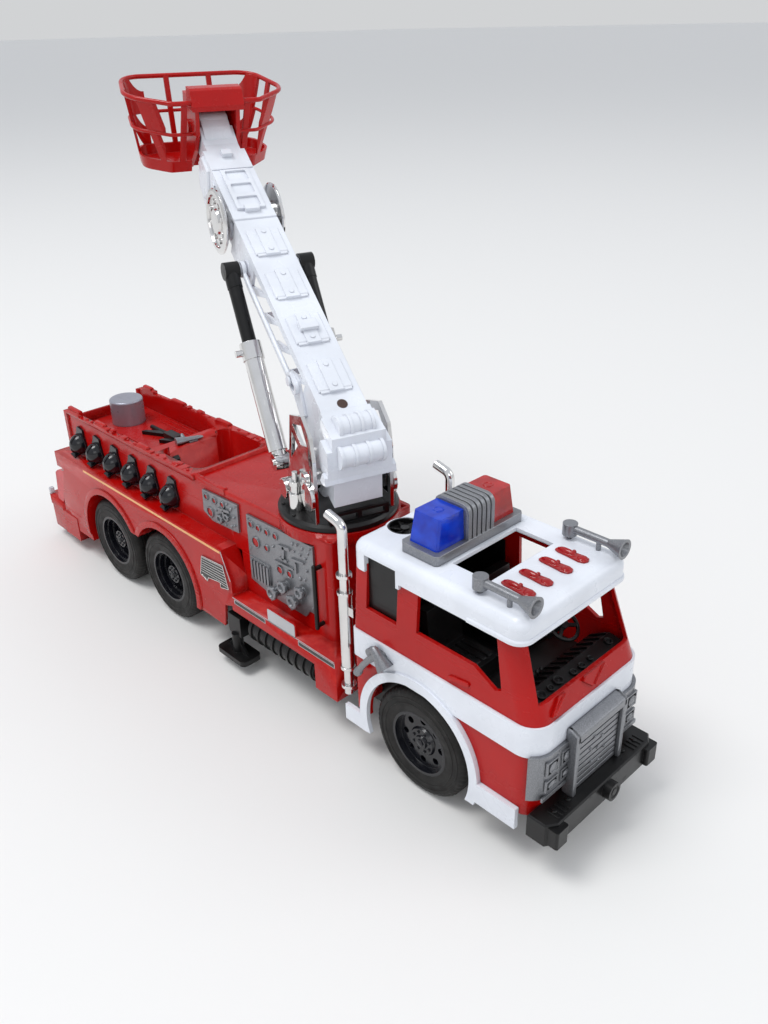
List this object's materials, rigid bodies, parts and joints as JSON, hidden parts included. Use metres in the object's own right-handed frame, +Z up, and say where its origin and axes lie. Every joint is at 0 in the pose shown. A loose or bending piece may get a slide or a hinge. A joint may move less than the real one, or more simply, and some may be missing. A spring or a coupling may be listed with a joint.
{
  "type": "toy fire engine with articulated boom",
  "caption": "Toy fire engine with a boxy open cab, a long bed, and a jointed boom on a turntable that lifts a railed basket.",
  "frame": {"origin": "on the floor, on the truck's centre plane, midway between the front and rearmost axles", "axes": "+Z up, front towards -Y, the truck's left side towards +X"},
  "size_m": [0.1824, 0.5615, 0.3777],
  "materials": {
    "red_plastic": "gloss",
    "white_plastic": "gloss",
    "black_plastic": "satin",
    "black_gloss": "gloss",
    "silver_plastic": "satin",
    "chrome_plate": "polished",
    "blue_lens": "clear",
    "red_lens": "clear",
    "tyre": "matte",
    "steel": "satin"
  },
  "bodies": {
    "truck": {"chassis_frame": "black_plastic", "rear_body": "red_plastic", "cab_shell": "red_plastic", "cab_trim": "white_plastic", "cab_roof": "white_plastic", "cab_interior": "black_plastic", "steering_wheel": "black_plastic", "grille": "silver_plastic", "grille_guard": "silver_plastic", "front_bumper": "black_plastic", "light_bar_base": "silver_plastic", "light_lens_right": "blue_lens", "light_lens_left": "red_lens", "air_horn_right": "silver_plastic", "air_horn_left": "silver_plastic", "marker_lights": "red_lens", "roof_fans": "black_plastic", "exhaust_stack_right": "chrome_plate", "exhaust_stack_left": "chrome_plate", "side_nozzle_right": "silver_plastic", "side_nozzle_left": "silver_plastic", "pump_panels_right": "silver_plastic", "pump_panels_left": "silver_plastic", "grab_bar_right": "black_plastic", "grab_bar_left": "black_plastic", "helmets_right": "black_gloss", "helmets_left": "black_gloss", "bed_drum": "silver_plastic", "bed_tool": "black_plastic", "bed_nozzle": "silver_plastic", "tank_right": "black_plastic", "tank_left": "black_plastic", "side_louvres": "chrome_plate", "tail_lamps": "red_lens"},
    "front_wheels": {"front_axle": "steel", "front_rims": "black_gloss", "front_tyre_right": "tyre", "front_tyre_left": "tyre"},
    "middle_wheels": {"middle_axle": "steel", "middle_rims": "black_gloss", "middle_tyre_right": "tyre", "middle_tyre_left": "tyre"},
    "rear_wheels": {"rear_axle": "steel", "rear_rims": "black_gloss", "rear_tyre_right": "tyre", "rear_tyre_left": "tyre"},
    "outrigger_right": {"outrigger_right": "black_plastic"},
    "outrigger_left": {"outrigger_left": "black_plastic"},
    "turntable": {"turntable_disc": "black_plastic", "turntable_bracket": "chrome_plate"},
    "lower_boom": {"lower_boom": "white_plastic", "levelling_rod": "white_plastic"},
    "upper_boom": {"upper_boom": "white_plastic", "elbow_discs": "chrome_plate"},
    "basket": {"basket": "red_plastic"},
    "lift_barrel_right": {"lift_barrel_right": "chrome_plate"},
    "lift_barrel_left": {"lift_barrel_left": "chrome_plate"},
    "lift_rod_right": {"lift_rod_right": "black_plastic"},
    "lift_rod_left": {"lift_rod_left": "black_plastic"}
  },
  "joints": [
    {"name": "front_wheels_roll", "type": "hinge", "parent": "truck", "child": "front_wheels", "pos_m": [0, -0.1725, 0.0354], "axis": [1, 0, 0], "continuous": true},
    {"name": "middle_wheels_roll", "type": "hinge", "parent": "truck", "child": "middle_wheels", "pos_m": [0, 0.0925, 0.0354], "axis": [1, 0, 0], "continuous": true},
    {"name": "rear_wheels_roll", "type": "hinge", "parent": "truck", "child": "rear_wheels", "pos_m": [0, 0.172, 0.0354], "axis": [1, 0, 0], "continuous": true},
    {"name": "turntable_turn", "type": "hinge", "parent": "truck", "child": "turntable", "pos_m": [0, -0.056, 0.138], "axis": [0, 0, 1], "continuous": true},
    {"name": "boom_lift", "type": "hinge", "parent": "turntable", "child": "lower_boom", "pos_m": [-0.00399, -0.06827, 0.1613], "axis": [0.9511, -0.309, 0], "range_deg": [-33, 27]},
    {"name": "boom_elbow", "type": "hinge", "parent": "lower_boom", "child": "upper_boom", "pos_m": [0.04391, 0.07913, 0.28985], "axis": [-0.9511, 0.309, 0], "range_deg": [0, 60]},
    {"name": "basket_tilt", "type": "hinge", "parent": "upper_boom", "child": "basket", "pos_m": [0.06218, 0.13538, 0.34567], "axis": [-0.9511, 0.309, 0], "range_deg": [-21, 24]},
    {"name": "lift_barrel_right_turn", "type": "hinge", "parent": "turntable", "child": "lift_barrel_right", "pos_m": [0.00958, -0.02652, 0.157], "axis": [0.9511, -0.309, 0], "range_deg": [-38.5, 31.5]},
    {"name": "lift_rod_right_slide", "type": "slide", "parent": "lift_barrel_right", "child": "lift_rod_right", "axis": [0.168, 0.517, 0.8393], "range_m": [-0.0203, 0.0166]},
    {"name": "lift_barrel_left_turn", "type": "hinge", "parent": "turntable", "child": "lift_barrel_left", "pos_m": [0.00958, -0.02652, 0.157], "axis": [0.9511, -0.309, 0], "range_deg": [-38.5, 31.5]},
    {"name": "lift_rod_left_slide", "type": "slide", "parent": "lift_barrel_left", "child": "lift_rod_left", "axis": [0.168, 0.517, 0.8393], "range_m": [-0.0203, 0.0166]},
    {"name": "outrigger_right_slide", "type": "slide", "parent": "truck", "child": "outrigger_right", "axis": [-1, 0, 0], "range_m": [0, 0.025]},
    {"name": "outrigger_left_slide", "type": "slide", "parent": "truck", "child": "outrigger_left", "axis": [1, 0, 0], "range_m": [0, 0.025]}
  ],
  "couplings": [
    {"joint": "lift_barrel_right_turn", "follows": "boom_lift", "ratio": 1.165},
    {"joint": "lift_rod_right_slide", "follows": "boom_lift", "m_per_rad": 0.035},
    {"joint": "lift_barrel_left_turn", "follows": "boom_lift", "ratio": 1.165},
    {"joint": "lift_rod_left_slide", "follows": "boom_lift", "m_per_rad": 0.035}
  ]
}
